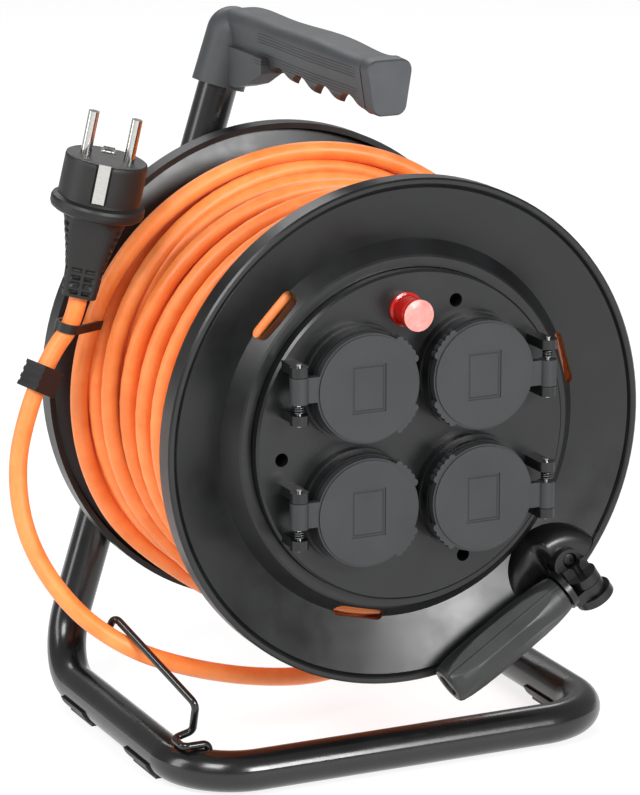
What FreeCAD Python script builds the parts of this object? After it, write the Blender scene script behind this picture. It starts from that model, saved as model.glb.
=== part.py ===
import FreeCAD, Part
import math
import os

import Sketcher
from FreeCAD import Placement, Rotation, Vector

# Cord reel on a bent-tube stand. Millimetres, +Z up, the drum's axis along Y, the socket panel
# facing -Y. Outlines and places are first written in the drum's own frame, whose origin is the
# centre of the front rim on the axis; the sheet's face_y and axle_height then set that frame above
# the middle of the object's footprint.

DOC = FreeCAD.newDocument("cord_reel")
DIMS = DOC.addObject("Spreadsheet::Sheet", "dims")

SIZES = {
    # where the drum's frame stands
    "axis_x": 2.4, "face_y": -80.4, "axle_height": 153.5,
    # drum
    "flange_radius": 112.5, "rim_depth": 10, "barrel_inner": 74, "barrel_outer": 76.4,
    "barrel_front": 6, "barrel_back": 136, "winding_radius": 99, "winding_front": 17,
    "winding_back": 133, "rear_rim": 149, "slot_radius": 82.6, "slot_length": 25, "slot_width": 5.6,
    "slot_turn": 16.4,
    # crank recess and crank
    "recess_x": 77, "recess_z": -75, "recess_radius": 22, "recess_floor": 14, "recess_wall": 2.6,
    "crank_x": 81, "crank_y": -11.2, "crank_z": -72.5, "crank_turn": 147,
    "ear_radius": 7, "crank_pin": 2, "spindle_radius": 3.2, "grip_radius": 10.4,
    "grip_start": 12.5, "grip_end": 78,
    # socket panel
    "panel_radius": 73.3, "panel_face": -3, "panel_wall": 2.5, "socket_offset": 27.4,
    "collar_base": 26, "collar_radius": 24.8, "collar_bore": 22.5, "collar_top": -12.5,
    "screw_circle": 61.8, "screw_tube": 4.6, "screw_well": 3, "screw_seat": 27, "post_front": 30,
    "post_radius": 4.5, "screw_radius": 1.5, "reset_x": -3.6, "reset_z": 56.6, "reset_bore": 4.9,
    # sockets
    "insert_radius": 22.3, "insert_bore": 19.75, "insert_top": -11.5, "insert_floor": 5,
    "insert_back": 8, "pin_hole": 2.6, "pin_offset": 9.5,
    # lids
    "hinge_x": 59.1, "hinge_y": -15.2, "hinge_pin": 1.25, "hinge_bore": 1.3, "knuckle_radius": 4,
    "knuckle_low": -8, "knuckle_high": 3.5, "lug_start": 8.3, "lug_width": 4.3,
    "lid_radius": 24, "lid_front": -16.7, "lid_back": -13,
    # hub
    "axle_radius": 8, "bush_bore": 8.05, "bush_radius": 11, "boss_radius": 14, "hub_front": 92,
    "axle_front": 91.7, "shoulder_front": 148.3, "shoulder_radius": 13,
    # stand
    "tube_radius": 9.1, "tube_wall": 1.4, "bend_radius": 30, "base_half": 100.1, "base_z": -143.2,
    "base_front": 2.6, "leg_y": 170.3, "leg_top_x": -6.2, "leg_top_z": 155, "foot_thick": 1.2,
    # cord
    "cord_diameter": 8.2, "lay_radius": 108.6,
}


def fill_sheet():
    for row, (alias, size) in enumerate(SIZES.items(), start=1):
        DIMS.set(f"A{row}", alias)
        DIMS.set(f"B{row}", str(size))
        DIMS.setAlias(f"B{row}", alias)
    DOC.recompute()


NODES = []


def value(text):
    """The number that an expression on the sheet gives now."""
    return float(DIMS.evalExpression(str(text).replace("dims.", "")))


def seat(item, across="0", along="0", up="0", turn=None):
    """Bind an object's place, given in the drum's frame, to the sheet."""
    if turn is not None:
        item.Placement = Placement(Vector(), turn)
    item.setExpression("Placement.Base.x", f"dims.axis_x + {across}")
    item.setExpression("Placement.Base.y", f"dims.face_y + {along}")
    item.setExpression("Placement.Base.z", f"dims.axle_height + {up}")


def node(item, label, placed=True):
    """Name a finished sub-part and keep it for export."""
    item.Label = label
    if placed:
        seat(item)
    NODES.append(item)
    return item


def feature(label, shape, spot=Vector(), turn=Rotation()):
    item = DOC.addObject("Part::Feature", label)
    item.Shape = shape
    seat(item, spot.x, spot.y, spot.z, turn)
    return node(item, label, False)


# ---- sketches and bodies ----------------------------------------------------------------------

def plane_sketch(body, role, name, depth="0", turn="0"):
    """A sketch on one of the body's own origin planes, moved along its normal by depth."""
    sketch = body.newObject("Sketcher::SketchObject", name)
    plane = next(item for item in body.Origin.OriginFeatures if item.Role == role)
    sketch.AttachmentSupport = [(plane, "")]
    sketch.MapMode = "FlatFace"
    sketch.AttachmentOffset = Placement(Vector(), Rotation(Vector(0, 0, 1), value(turn)))
    sketch.setExpression("AttachmentOffset.Base.z", str(depth))
    return sketch


def bind(sketch, kind, index, place, text):
    row = sketch.addConstraint(Sketcher.Constraint(kind, -1, 1, index, place, value(text)))
    sketch.setExpression(f"Constraints[{row}]", str(text))


def draw_outline(sketch, corners):
    """A closed outline of straight lines whose corners are bound to the sheet."""
    first = sketch.GeometryCount
    spots = [Vector(value(across), value(up), 0) for across, up in corners]
    for spot, following in zip(spots, spots[1:] + spots[:1]):
        sketch.addGeometry(Part.LineSegment(spot, following), False)
    for step, (across, up) in enumerate(corners):
        before = first + (step - 1) % len(corners)
        sketch.addConstraint(Sketcher.Constraint("Coincident", before, 2, first + step, 1))
        bind(sketch, "DistanceX", first + step, 1, across)
        bind(sketch, "DistanceY", first + step, 1, up)


def draw_circles(sketch, centres, radius):
    for across, up in centres:
        spot = Vector(value(across), value(up), 0)
        index = sketch.addGeometry(Part.Circle(spot, Vector(0, 0, 1), value(radius)), False)
        row = sketch.addConstraint(Sketcher.Constraint("Radius", index, value(radius)))
        sketch.setExpression(f"Constraints[{row}]", str(radius))
        bind(sketch, "DistanceX", index, 3, across)
        bind(sketch, "DistanceY", index, 3, up)


def revolved(name, profile):
    """A body turned about its Y axis from an outline of (radius, y) corners."""
    body = DOC.addObject("PartDesign::Body", name)
    sketch = plane_sketch(body, "XY_Plane", f"{name}_profile")
    draw_outline(sketch, profile)
    turned = body.newObject("PartDesign::Revolution", f"{name}_turned")
    turned.Profile = sketch
    turned.ReferenceAxis = (sketch, ["V_Axis"])
    turned.Angle = 360
    body.Tip = turned
    DOC.recompute()
    return body


def pad(body, sketch, length, backwards=True):
    item = body.newObject("PartDesign::Pad", f"{sketch.Name}_pad")
    item.Profile = sketch
    item.setExpression("Length", str(length))
    item.Reversed = backwards
    body.Tip = item
    DOC.recompute()
    return item


def pocket(body, sketch, length):
    """Cut from the sketch towards +Y, and make sure that it did cut."""
    before = body.Shape.Volume
    item = body.newObject("PartDesign::Pocket", f"{sketch.Name}_cut")
    item.Profile = sketch
    item.setExpression("Length", str(length))
    body.Tip = item
    DOC.recompute()
    if body.Shape.Volume > before - 0.01:
        raise RuntimeError(f"{item.Name} cuts nothing")
    return item


def pad_circles(body, name, centres, radius, front, back):
    """Round studs from y = front to y = back."""
    sketch = plane_sketch(body, "XZ_Plane", name, f"-({front})")
    draw_circles(sketch, centres, radius)
    return pad(body, sketch, f"({back}) - ({front})")


def cut_circles(body, name, centres, radius, front, back):
    """Round holes from y = front to y = back."""
    sketch = plane_sketch(body, "XZ_Plane", name, f"-({front})")
    draw_circles(sketch, centres, radius)
    return pocket(body, sketch, f"({back}) - ({front})")


# ---- primitives in the drum's frame -----------------------------------------------------------

ALONG = Rotation(Vector(1, 0, 0), -90)   # a cylinder's own axis turned to +Y


def local_place(item, across, along, up):
    for axis, text in zip("xyz", (across, along, up)):
        item.setExpression(f"Placement.Base.{axis}", str(text))


def rod(name, radius, length, across="0", along="0", up="0", turn=ALONG):
    item = DOC.addObject("Part::Cylinder", name)
    item.setExpression("Radius", str(radius))
    item.setExpression("Height", str(length))
    item.Placement = Placement(Vector(), turn)
    local_place(item, across, along, up)
    return item


def block(name, low, high, turn=None):
    """A box between two corners, each three expressions."""
    item = DOC.addObject("Part::Box", name)
    if turn is not None:
        item.Placement = Placement(Vector(), turn)
    for side, start, end in zip(("Length", "Width", "Height"), low, high):
        item.setExpression(side, f"({end}) - ({start})")
    local_place(item, *low)
    return item


def joined(name, items):
    item = DOC.addObject("Part::MultiFuse", name)
    item.Shapes = list(items)
    return item


def minus(name, base, tool):
    item = DOC.addObject("Part::Cut", name)
    item.Base, item.Tool = base, tool
    return item


def shared(name, first, second):
    item = DOC.addObject("Part::MultiCommon", name)
    item.Shapes = [first, second]
    return item


def group(name, items):
    """Identical separate solids kept as one node."""
    item = DOC.addObject("Part::Compound", name)
    item.Links = list(items)
    return item


# ---- bent tubes and wires ---------------------------------------------------------------------

def rounded_path(points, radii):
    """Straight runs joined by tangent arcs, one radius for each inner point."""
    edges, start = [], points[0]
    for before, corner, after, radius in zip(points, points[1:], points[2:], radii):
        back = (before - corner).normalize()
        ahead = (after - corner).normalize()
        half_turn = (math.pi - back.getAngle(ahead)) / 2
        reach = radius * math.tan(half_turn)
        first, last = corner + back * reach, corner + ahead * reach
        middle = (back + ahead).normalize()
        centre_gap = radius / math.cos(half_turn)
        top = corner + middle * (centre_gap - radius)
        edges.append(Part.LineSegment(start, first).toShape())
        edges.append(Part.Arc(first, top, last).toShape())
        start = last
    edges.append(Part.LineSegment(start, points[-1]).toShape())
    return Part.Wire(edges)


def round_sweep(path, radius):
    first = path.OrderedEdges[0]
    start = first.valueAt(first.FirstParameter)
    if first.Orientation == "Reversed":
        start = first.valueAt(first.LastParameter)
    circle = Part.Circle(start, first.tangentAt(first.FirstParameter), radius)
    return path.makePipeShell([Part.Wire([circle.toShape()])], True, False)


def natural_radii(points):
    """The largest tangent arcs that fit: 0.45 of the shorter run over tan(half the turn)."""
    radii = []
    for before, corner, after in zip(points, points[1:], points[2:]):
        run = min((corner - before).Length, (after - corner).Length)
        half_turn = (math.pi - (before - corner).getAngle(after - corner)) / 2
        radii.append(0.45 * run / math.tan(half_turn))
    return radii


# ---- stand ------------------------------------------------------------------------------------

def stand_points():
    side, low = value("dims.base_half"), value("dims.base_z")
    front, rear = value("dims.base_front"), value("dims.leg_y")
    top = Vector(value("dims.leg_top_x"), rear, value("dims.leg_top_z"))
    corners = [Vector(-side, rear, low), Vector(-side, front, low), Vector(side, front, low),
               Vector(side, rear, low)]
    lean = (top.x - corners[0].x) / (top.z - low)
    brace = side / -low
    meet_z = (side + lean * low) / (lean + brace)
    meeting = Vector(-brace * meet_z, rear, meet_z)
    return top, corners, meeting


def make_frame_tube():
    """One bent tube: left leg, base loop and the right leg that carries the hub and meets the left."""
    top, corners, meeting = stand_points()
    outer, inner = value("dims.tube_radius"), value("dims.tube_radius - dims.tube_wall")
    bends = [value("dims.bend_radius")] * len(corners)
    hub = Vector(0, value("dims.leg_y"), 0)
    short_of = meeting + (hub - meeting).normalize() * 1.6 * outer
    main = rounded_path([top, *corners, hub], bends)
    brace = Part.Wire([Part.LineSegment(hub, meeting).toShape()])
    brace_bore = Part.Wire([Part.LineSegment(hub, short_of).toShape()])
    solid = round_sweep(main, outer).fuse(round_sweep(brace, outer))
    solid = solid.cut(round_sweep(main, inner)).cut(round_sweep(brace_bore, inner))
    feature("frame_tube", solid.removeSplitter())


def make_feet():
    """Rubber shoes with flat soles under the base rails, two on each side."""
    shoes = []
    reach = "dims.tube_radius + dims.foot_thick"
    for side, hand in ((-1, "left"), (1, "right")):
        rail = f"{side} * dims.base_half"
        for tag, start, length in (("front", 36, 26), ("rear", 112, 26)):
            name = f"shoe_{tag}_{hand}"
            outer = rod(f"{name}_outer", reach, length, rail, start, "dims.base_z")
            half = block(f"{name}_half", (f"{rail} - ({reach})", start, f"dims.base_z - ({reach})"),
                         (f"{rail} + {reach}", start + length, "dims.base_z - 3"))
            sole = block(f"{name}_sole", (f"{rail} - 5", start, f"dims.base_z - ({reach})"),
                         (f"{rail} + 5", start + length, "dims.base_z - dims.tube_radius + 1.5"))
            tube = rod(f"{name}_tube", "dims.tube_radius", length + 2, rail, start - 1, "dims.base_z")
            whole = joined(f"{name}_whole", [shared(f"{name}_shell", outer, half), sole])
            shoes.append(minus(name, whole, tube))
    node(group("feet_group", shoes), "rubber_feet")


def section(low, high, low_width, high_width, corner, y, middle):
    """A rounded trapezium across the grip at y, on its middle line."""
    spots = [Vector(middle - low_width / 2, y, low), Vector(middle + low_width / 2, y, low),
             Vector(middle + high_width / 2, y, high), Vector(middle - high_width / 2, y, high)]
    edges = []
    for index, spot in enumerate(spots):
        back = (spots[index - 1] - spot).normalize()
        ahead = (spots[(index + 1) % 4] - spot).normalize()
        half_turn = (math.pi - back.getAngle(ahead)) / 2
        reach = corner * math.tan(half_turn)
        top = spot + (back + ahead).normalize() * (corner / math.cos(half_turn) - corner)
        edges.append((spot + back * reach, top, spot + ahead * reach))
    wire = []
    for index, (first, top, last) in enumerate(edges):
        wire.append(Part.Arc(first, top, last).toShape())
        wire.append(Part.LineSegment(last, edges[(index + 1) % 4][0]).toShape())
    return Part.Wire(wire)


GRIP_MIDDLE = -3
GRIP_SECTIONS = (  # y, underside, top, width below, width above, corner radius
    (22, 137.0, 161.8, 15.5, 23, 5), (60, 137.3, 162.0, 15.5, 23, 5),
    (100, 137.8, 162.2, 15.5, 22.5, 5.5), (140, 138.6, 162.2, 16, 22, 6),
    (168, 140.0, 161.6, 16, 22, 6), (182, 145.0, 157.5, 12, 15, 4.5))


def make_handle():
    """Grip moulding: a hollow bar with four finger scallops, on a socket for the tube's end."""
    bar = Part.makeLoft([section(low, high, narrow, wide, corner, y, GRIP_MIDDLE)
                         for y, low, high, narrow, wide, corner in GRIP_SECTIONS], True, False)
    top, corners, _ = stand_points()
    along_leg = (top - corners[0]).normalize()
    socket_foot = top - along_leg * 30
    socket = Part.makeCone(12.4, 12, 25, socket_foot, along_leg)
    socket = socket.fuse(Part.makeSphere(12, top - along_leg * 5))
    web = Part.Face(Part.makePolygon([Vector(-15, 122, 139), Vector(-15, 138, 131.5),
                                      Vector(-15, 152, 128), Vector(-15, 165, 128),
                                      Vector(-15, 165, 146), Vector(-15, 122, 146),
                                      Vector(-15, 122, 139)])).extrude(Vector(11, 0, 0))
    solid = bar.fuse(socket).fuse(web)
    for y in (112, 88, 64, 40):
        solid = solid.cut(Part.makeCylinder(13, 60, Vector(-33, y, 130.5), Vector(1, 0, 0)))
    trough = Part.makeBox(8, 96, 14, Vector(GRIP_MIDDLE - 4, 26, 133))
    bore = Part.makeCylinder(value("dims.tube_radius"), 45, top - along_leg * 45, along_leg)
    feature("handle_grip", solid.cut(trough).cut(bore))
    cap_wires = [section(137.0, 161.8, 14.7, 22.2, 4.6, 22, GRIP_MIDDLE),
                 section(137.2, 161.6, 15.2, 22.8, 4.8, 20.6, GRIP_MIDDLE),
                 section(137.2, 161.4, 15.2, 22.8, 4.8, 15, GRIP_MIDDLE),
                 section(137.8, 160.8, 14.2, 21.8, 4.4, 14, GRIP_MIDDLE)]
    feature("handle_cap", Part.makeLoft(cap_wires, True, True))


def make_hub():
    """Fixed axle welded to the right leg, with the washer and screw that keep the drum on it."""
    axle = revolved("axle_blank", [
        ("0", "dims.axle_front"), ("dims.axle_radius", "dims.axle_front"),
        ("dims.axle_radius", "dims.shoulder_front"),
        ("dims.shoulder_radius", "dims.shoulder_front"),
        ("dims.shoulder_radius", "dims.leg_y"), ("0", "dims.leg_y")])
    cut_circles(axle, "axle_thread", [("0", "0")], "4", "dims.axle_front - 1", "dims.axle_front + 18")
    lean = math.degrees(math.atan2(value("dims.base_half"), -value("dims.base_z")))
    leg = rod("axle_saddle", "dims.tube_radius", "80", "0", "dims.leg_y", "0",
              Rotation(Vector(0, 1, 0), -lean))
    leg_below = rod("axle_saddle_low", "dims.tube_radius", "80", "0", "dims.leg_y", "0",
                    Rotation(Vector(0, 1, 0), 180 - lean))
    node(minus("axle_cut", axle, joined("axle_leg", [leg, leg_below])), "hub_axle")
    washer = revolved("axle_washer_body", [
        ("4.1", "dims.axle_front - 2"), ("13", "dims.axle_front - 2"),
        ("13", "dims.axle_front"), ("4.1", "dims.axle_front")])
    node(washer, "axle_washer")
    screw = revolved("axle_screw_body", [
        ("0", "84.2"), ("6.5", "84.2"), ("7.2", "85"), ("7.2", "dims.axle_front - 2"),
        ("4", "dims.axle_front - 2"), ("4", "dims.axle_front + 16"), ("0", "dims.axle_front + 16")])
    cut_circles(screw, "axle_screw_socket", [("0", "0")], "2.8", "84", "87.5")
    node(screw, "axle_screw")


GUIDE_ROUTE = ((-89, 14, -139.5), (-89, 14, -132.2), (-101, 14, -132.2), (-101, 26, -132.2),
               (-92, 25, -129.5), (-92.5, 20, -115.8), (-113, 62, -85.3), (-116.2, 66.4, -95.2),
               (-84.5, 163.2, -120), (-82.1, 170.3, -121.5))
GUIDE_BENDS = (3, 3, 3, 3, 4, 3, 3, 5)


def make_guide_wire():
    """Sprung steel wire that steers the lead: hooked on the base rail and on the left leg."""
    path = rounded_path([Vector(*spot) for spot in GUIDE_ROUTE], GUIDE_BENDS)
    feature("guide_wire", round_sweep(path, 1.7))


# ---- drum -------------------------------------------------------------------------------------

def make_front_flange():
    """Dished ring with a beaded rim, three cord slots and the recess that the crank folds into."""
    ring = revolved("front_ring", [
        ("73.6", "2.5"), ("77.8", "2.5"), ("78.8", "3.2"), ("84.5", "10"), ("108.1", "1.2"),
        ("108.9", "1.9"), ("109.5", "0.5"), ("110.1", "0"), ("111.7", "0"),
        ("dims.flange_radius", "0.8"), ("dims.flange_radius", "dims.rim_depth"),
        ("109.9", "dims.rim_depth"), ("109.9", "5"), ("108.5", "4.2"), ("84.9", "12.9"),
        ("81.2", "12.4"), ("76.6", "dims.barrel_front"), ("73.6", "dims.barrel_front")])
    slot = plane_sketch(ring, "XZ_Plane", "cord_slot", "1", "dims.slot_turn")
    corners = []
    for end in (-1, 1):
        for step in range(7):
            turn = math.radians(90 + 90 * end + 30 * step)
            corners.append((f"dims.slot_radius + dims.slot_width / 2 * {math.cos(turn):.5f}",
                            f"{end} * (dims.slot_length - dims.slot_width) / 2"
                            f" + dims.slot_width / 2 * {-math.sin(turn):.5f}"))
    draw_outline(slot, corners)
    opening = pocket(ring, slot, "20")
    around = ring.newObject("PartDesign::PolarPattern", "three_slots")
    around.Originals = [opening]
    axis = next(item for item in ring.Origin.OriginFeatures if item.Role == "Y_Axis")
    around.Axis = (axis, [""])
    around.Angle = 360
    around.Occurrences = 3
    ring.Tip = around
    DOC.recompute()
    backing = revolved("recess_backing", [
        ("80", "8"), ("84.6", "10.4"), ("108.2", "1.6"), ("109.9", "1.6"),
        ("109.9", "dims.recess_floor + dims.recess_wall"),
        ("80", "dims.recess_floor + dims.recess_wall")])
    spot = ("dims.recess_x", "-2", "dims.recess_z")
    cup = rod("recess_cup", "dims.recess_radius + dims.recess_wall", "40", *spot)
    hollow = rod("recess_hollow", "dims.recess_radius", "dims.recess_floor + 2", *spot)
    inside_rim = rod("recess_limit", "108.2", "40", "0", "-2", "0")
    whole = joined("front_whole", [ring, shared("recess_shell", backing, cup)])
    node(minus("front_cut", whole, shared("recess_tool", hollow, inside_rim)), "front_flange")


def screw_spots():
    """The panel's three fixings, on one circle."""
    return [(f"dims.screw_circle * {math.cos(math.radians(turn)):.5f}",
             f"dims.screw_circle * {math.sin(math.radians(turn)):.5f}")
            for turn in (70.6, 183.3, 294)]


def make_rear_flange():
    """Dished disc on a long hub, with three posts that the panel's screws run into."""
    disc = revolved("rear_disc", [
        ("dims.bush_radius", "dims.hub_front + 1"), ("dims.boss_radius", "dims.hub_front + 1"),
        ("dims.boss_radius", "dims.barrel_back"), ("78", "dims.barrel_back"), ("108.5", "144.2"),
        ("109.9", "143"), ("109.9", "139"), ("dims.flange_radius", "139"),
        ("dims.flange_radius", "dims.rear_rim - 0.8"), ("111.7", "dims.rear_rim"),
        ("110.1", "dims.rear_rim"), ("109.5", "dims.rear_rim - 0.5"), ("108.1", "147.7"),
        ("84.5", "139.4"), ("20", "139.4"), ("17", "145.5"), ("dims.bush_radius", "145.5")])
    spots = screw_spots()
    pad_circles(disc, "post_studs", spots, "dims.post_radius", "dims.post_front",
                "dims.barrel_back + 1")
    cut_circles(disc, "post_holes", spots, "dims.screw_radius", "dims.post_front - 1",
                "dims.post_front + 24")
    node(disc, "rear_flange")


def make_barrel():
    barrel = revolved("barrel_body", [
        ("dims.barrel_inner", "dims.barrel_front"), ("dims.barrel_outer", "dims.barrel_front"),
        ("dims.barrel_outer", "dims.barrel_back"), ("dims.barrel_inner", "dims.barrel_back")])
    node(barrel, "barrel")
    bush = revolved("hub_bush_body", [
        ("dims.bush_bore", "dims.hub_front"), ("dims.boss_radius", "dims.hub_front"),
        ("dims.boss_radius", "dims.hub_front + 1"), ("dims.bush_radius", "dims.hub_front + 1"),
        ("dims.bush_radius", "145.5"), ("dims.boss_radius", "145.5"),
        ("dims.boss_radius", "148"), ("dims.bush_bore", "148")])
    node(bush, "hub_bush")
    anchor = block("cord_anchor_block", ("-9", "40", "-75"), ("9", "56", "-63"))
    node(shared("cord_anchor", anchor, rod("anchor_limit", "dims.barrel_inner", "80")),
         "cord_anchor")


SOCKETS = {"upper_left": (-1, 1), "upper_right": (1, 1), "lower_left": (-1, -1),
           "lower_right": (1, -1)}


def socket_spot(side, rise):
    return f"{side} * dims.socket_offset", f"{rise} * dims.socket_offset"


def hinge_lugs():
    """Two lugs for each lid, standing on the panel beside its collar."""
    lugs, pins = [], []
    for name, (side, rise) in SOCKETS.items():
        middle = f"{rise} * dims.socket_offset"
        for tag, start in (("low", "-(dims.lug_start + dims.lug_width)"), ("high", "dims.lug_start")):
            low = f"{middle} + {start}"
            inner, outer = sorted((side * 55.2, side * 61.5))
            lugs.append(block(f"lug_{name}_{tag}", (inner, "dims.hinge_y", low),
                              (outer, "dims.panel_face + 1", f"{low} + dims.lug_width")))
            lugs.append(rod(f"eye_{name}_{tag}", "dims.knuckle_radius", "dims.lug_width",
                            f"{side} * dims.hinge_x", "dims.hinge_y", low, Rotation()))
        pins.append(rod(f"bore_{name}", "dims.hinge_pin", "40", f"{side} * dims.hinge_x",
                        "dims.hinge_y", f"{middle} - 20", Rotation()))
    return lugs, pins


def make_socket_panel():
    """Disc that closes the front of the drum, with four collars, lugs and three deep screw wells."""
    back = "dims.panel_face + dims.panel_wall"
    panel = revolved("panel_disc", [
        ("0", "dims.panel_face"), ("dims.panel_radius - 1", "dims.panel_face"),
        ("dims.panel_radius", "dims.panel_face + 1"), ("dims.panel_radius", "5.5"),
        ("dims.panel_radius - 2.5", "5.5"), ("dims.panel_radius - 2.5", back), ("0", back)])
    spots = [socket_spot(*signs) for signs in SOCKETS.values()]
    pad_circles(panel, "collar_bases", spots, "dims.collar_base", "dims.panel_face - 4", back)
    pad_circles(panel, "collars", spots, "dims.collar_radius", "dims.collar_top", back)
    cut_circles(panel, "collar_bores", spots, "dims.collar_bore", "dims.collar_top - 1", "3")
    wells = screw_spots()
    pad_circles(panel, "well_tubes", wells, "dims.screw_tube", back, "dims.post_front")
    cut_circles(panel, "wells", wells, "dims.screw_well", "dims.panel_face - 1", "dims.screw_seat")
    cut_circles(panel, "well_holes", wells, "dims.screw_radius + 0.1", "dims.screw_seat - 1",
                "dims.post_front + 1")
    cut_circles(panel, "reset_hole", [("dims.reset_x", "dims.reset_z")], "dims.reset_bore",
                "dims.panel_face - 1", "3")
    lugs, pins = hinge_lugs()
    whole = joined("panel_with_lugs", [panel, *lugs])
    node(minus("panel_cut", whole, joined("pin_bores", pins)), "socket_panel")


def make_socket_inserts():
    """Round plug wells held behind the panel by a flange, each closed by a face with pin holes."""
    for name, signs in SOCKETS.items():
        well = revolved(f"insert_{name}", [
            ("dims.insert_bore", "dims.insert_back"), ("dims.insert_bore", "dims.insert_top"),
            ("dims.insert_radius", "dims.insert_top"), ("dims.insert_radius", "-0.5"),
            ("24.5", "-0.5"), ("24.5", "1.5"), ("dims.insert_radius", "1.5"),
            ("dims.insert_radius", "dims.insert_back")])
        face = revolved(f"face_{name}", [
            ("0", "dims.insert_floor"), ("dims.insert_bore", "dims.insert_floor"),
            ("dims.insert_bore", "dims.insert_back"), ("0", "dims.insert_back")])
        cut_circles(face, f"pin_holes_{name}", [("dims.pin_offset", "0"), ("-dims.pin_offset", "0")],
                    "dims.pin_hole", "dims.insert_floor - 1", "dims.insert_back + 1")
        across, up = socket_spot(*signs)
        for item, label in ((well, f"socket_insert_{name}"), (face, f"socket_face_{name}")):
            item.Label = label
            seat(item, across, "0", up)
            NODES.append(item)


def make_contacts():
    """Earth clips in the wells and the bars that link the sockets behind them."""
    clips, bars = [], []
    for name, (side, rise) in SOCKETS.items():
        across, up = socket_spot(side, rise)
        for tag, sign in (("low", -1), ("high", 1)):
            ends = sorted((sign * 18.6, sign * 19.4))
            clips.append(block(f"clip_{name}_{tag}",
                               (f"{across} - 2.5", "-8.5", f"{up} + {ends[0]}"),
                               (f"{across} + 2.5", "dims.insert_floor", f"{up} + {ends[1]}")))
    node(group("clip_group", clips), "earth_clips")
    for side in (-1, 1):
        for sign in (-1, 1):
            middle = f"{side} * dims.socket_offset + {sign} * dims.pin_offset"
            bars.append(block(f"bar_{side + 1}_{sign + 1}",
                              (f"{middle} - 4.5", "dims.insert_back", "-dims.socket_offset - 8"),
                              (f"{middle} + 4.5", "dims.insert_back + 1", "dims.socket_offset + 8")))
    node(group("bar_group", bars), "contact_bars")


def make_reset():
    """Thermal cut-out behind the panel, its sleeve, the button that slides in it and its spring."""
    cutout = block("cutout_block", ("dims.reset_x - 8", "-0.5", "dims.reset_z - 6"),
                   ("dims.reset_x + 8", "22", "dims.reset_z + 6"))
    tunnel = rod("cutout_tunnel", "dims.reset_bore", "9", "dims.reset_x", "-1", "dims.reset_z")
    node(minus("cutout_cut", cutout, tunnel), "thermal_cutout")
    sleeve = revolved("sleeve_body", [
        ("dims.reset_bore", "-13.6"), ("6.2", "-13.6"), ("6.6", "-13"), ("6.6", "-4.6"),
        ("7.6", "-4.2"), ("7.6", "dims.panel_face"), ("dims.reset_bore", "dims.panel_face")])
    button = revolved("button_body", [
        ("0", "-17.4"), ("4.6", "-17.4"), ("6.9", "-16.4"), ("6.9", "-15.9"), ("4.8", "-15.9"),
        ("4.8", "2.5"), ("0", "2.5")])
    for body, label in ((sleeve, "reset_sleeve"), (button, "reset_button")):
        body.Label = label
        seat(body, "dims.reset_x", "0", "dims.reset_z")
        NODES.append(body)


def make_screws():
    spots = screw_spots()
    screws = []
    for index, (across, up) in enumerate(spots):
        head = rod(f"screw_head_{index}", "2.8", "2.4", across, "dims.screw_seat - 2.4", up)
        shank = rod(f"screw_shank_{index}", "dims.screw_radius", "18", across, "dims.screw_seat", up)
        screws.append(joined(f"screw_{index}", [head, shank]))
    node(group("screw_group", screws), "panel_screws")


# ---- lids -------------------------------------------------------------------------------------

def lid_blank(name):
    """One lid about its own hinge axis, reaching towards -X."""
    centre = "-(dims.hinge_x - dims.socket_offset)"
    thick = "dims.lid_back - dims.lid_front"
    front = "dims.lid_front - dims.hinge_y"
    lid = DOC.addObject("PartDesign::Body", f"{name}_plate")
    pad_circles(lid, f"{name}_disc", [(centre, "0")], "dims.lid_radius", front, f"{front} + {thick}")
    pad_circles(lid, f"{name}_lip", [(centre, "0")], "dims.lid_radius - 0.9", f"{front} - 0.7", front)
    dish = plane_sketch(lid, "XZ_Plane", f"{name}_dish", f"-({front} - 0.8)")
    draw_outline(dish, [(f"{centre} - 8", "-10.5"), (f"{centre} + 8", "-10.5"),
                        (f"{centre} + 8", "10.5"), (f"{centre} - 8", "10.5")])
    pocket(lid, dish, "0.6")
    parts = [lid]
    for step in (-8, -7, -6, -5, -4, 4, 5, 6, 7, 8):
        turn = math.radians(6.6 * step)
        parts.append(rod(f"{name}_grip_{step + 8}", "1.7", thick,
                         f"{centre} - 24.4 * {math.cos(turn):.5f}", front,
                         f"24.4 * {math.sin(turn):.5f}"))
    parts.append(block(f"{name}_neck", ("-14", front, "-7.5"), ("0", f"{front} + {thick}", "3.5")))
    parts.append(rod(f"{name}_knuckle", "dims.knuckle_radius", "dims.knuckle_high - dims.knuckle_low",
                     "0", "0", "dims.knuckle_low", Rotation()))
    bore = rod(f"{name}_bore", "dims.hinge_bore", "40", "0", "0", "-20", Rotation())
    return minus(f"{name}_cut", joined(f"{name}_whole", parts), bore)


def make_lids():
    for name, (side, rise) in SOCKETS.items():
        turn = Rotation(Vector(0, 1, 0), 0 if side > 0 else 180)
        lid = lid_blank(f"lid_{name}")
        lid.Label = f"lid_{name}"
        seat(lid, f"{side} * dims.hinge_x", "dims.hinge_y", f"{rise} * dims.socket_offset", turn)
        NODES.append(lid)
        seal = revolved(f"seal_{name}", [
            ("19.9", "dims.lid_back"), ("21.9", "dims.lid_back"), ("21.5", "dims.lid_back + 1.1"),
            ("20.3", "dims.lid_back + 1.1")])
        across, up = socket_spot(side, rise)
        seal.Label = f"lid_seal_{name}"
        seat(seal, across, "0", up)
        NODES.append(seal)


def make_lid_pins():
    pins = []
    for name, (side, rise) in SOCKETS.items():
        pins.append(rod(f"pin_{name}", "dims.hinge_pin", "27", f"{side} * dims.hinge_x",
                        "dims.hinge_y", f"{rise} * dims.socket_offset - 13.5", Rotation()))
    node(group("pin_group", pins), "lid_pins")


SPRING_WIRE, SPRING_RADIUS, SPRING_PITCH, SPRING_LENGTH = 0.4, 2.0, 1.05, 3.2


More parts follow.
